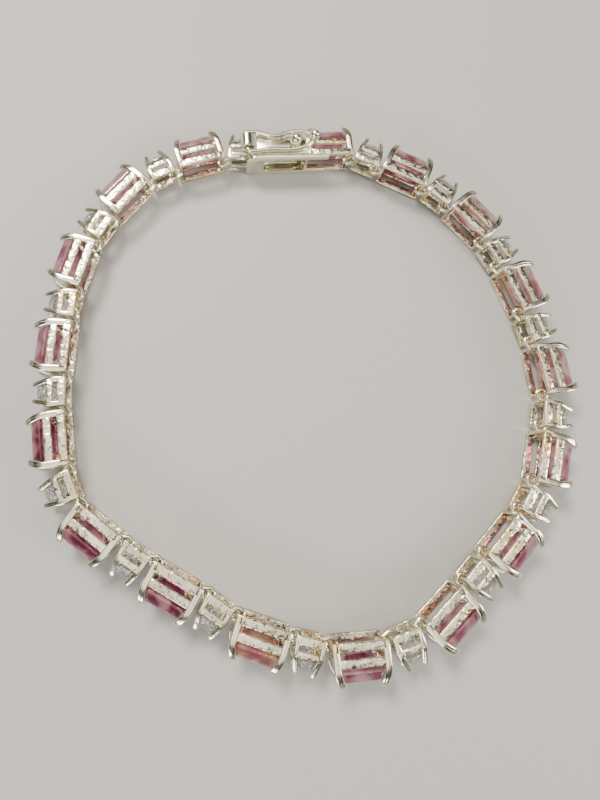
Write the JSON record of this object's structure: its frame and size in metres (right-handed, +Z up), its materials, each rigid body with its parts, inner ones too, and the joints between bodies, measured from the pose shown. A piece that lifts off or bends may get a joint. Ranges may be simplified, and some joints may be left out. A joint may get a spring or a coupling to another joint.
{
  "type": "tennis bracelet",
  "caption": "Line bracelet of alternating step-cut and round stones in four-prong basket links, closed by a box clasp with a figure-8 safety latch.",
  "frame": {"origin": "centre of the footprint, on the surface that the bracelet stands on by its lower edge", "axes": "+Z up across the bracelet's width, +Y from the wrist hollow's centre towards the clasp, +X towards the clasp's first large link"},
  "size_m": [0.0666, 0.067, 0.0063],
  "materials": {
    "large_link": "polished rhodium-plated basket with a pink step-cut stone",
    "small_link": "polished rhodium-plated basket with a clear round stone",
    "clasp_metal": "polished rhodium plate",
    "latch_metal": "polished rhodium plate"
  },
  "bodies": {
    "bracelet": {"clasp_box": "clasp_metal", "clasp_tongue": "clasp_metal", "large_link_02": "large_link", "large_link_03": "large_link", "large_link_04": "large_link", "large_link_05": "large_link", "large_link_06": "large_link", "large_link_07": "large_link", "large_link_08": "large_link", "large_link_09": "large_link", "large_link_10": "large_link", "large_link_11": "large_link", "large_link_12": "large_link", "large_link_13": "large_link", "large_link_14": "large_link", "large_link_15": "large_link", "large_link_16": "large_link", "large_link_17": "large_link", "small_link_01": "small_link", "small_link_02": "small_link", "small_link_03": "small_link", "small_link_04": "small_link", "small_link_05": "small_link", "small_link_06": "small_link", "small_link_07": "small_link", "small_link_08": "small_link", "small_link_09": "small_link", "small_link_10": "small_link", "small_link_11": "small_link", "small_link_12": "small_link", "small_link_13": "small_link", "small_link_14": "small_link", "small_link_15": "small_link", "small_link_16": "small_link"},
    "latch": {"safety_latch": "latch_metal"}
  },
  "joints": [
    {"name": "safety_latch_hinge", "type": "hinge", "parent": "bracelet", "child": "latch", "pos_m": [-0.006, 0.03082, 0.00515], "axis": [0, -1, 0], "range_deg": [0, 110]}
  ]
}
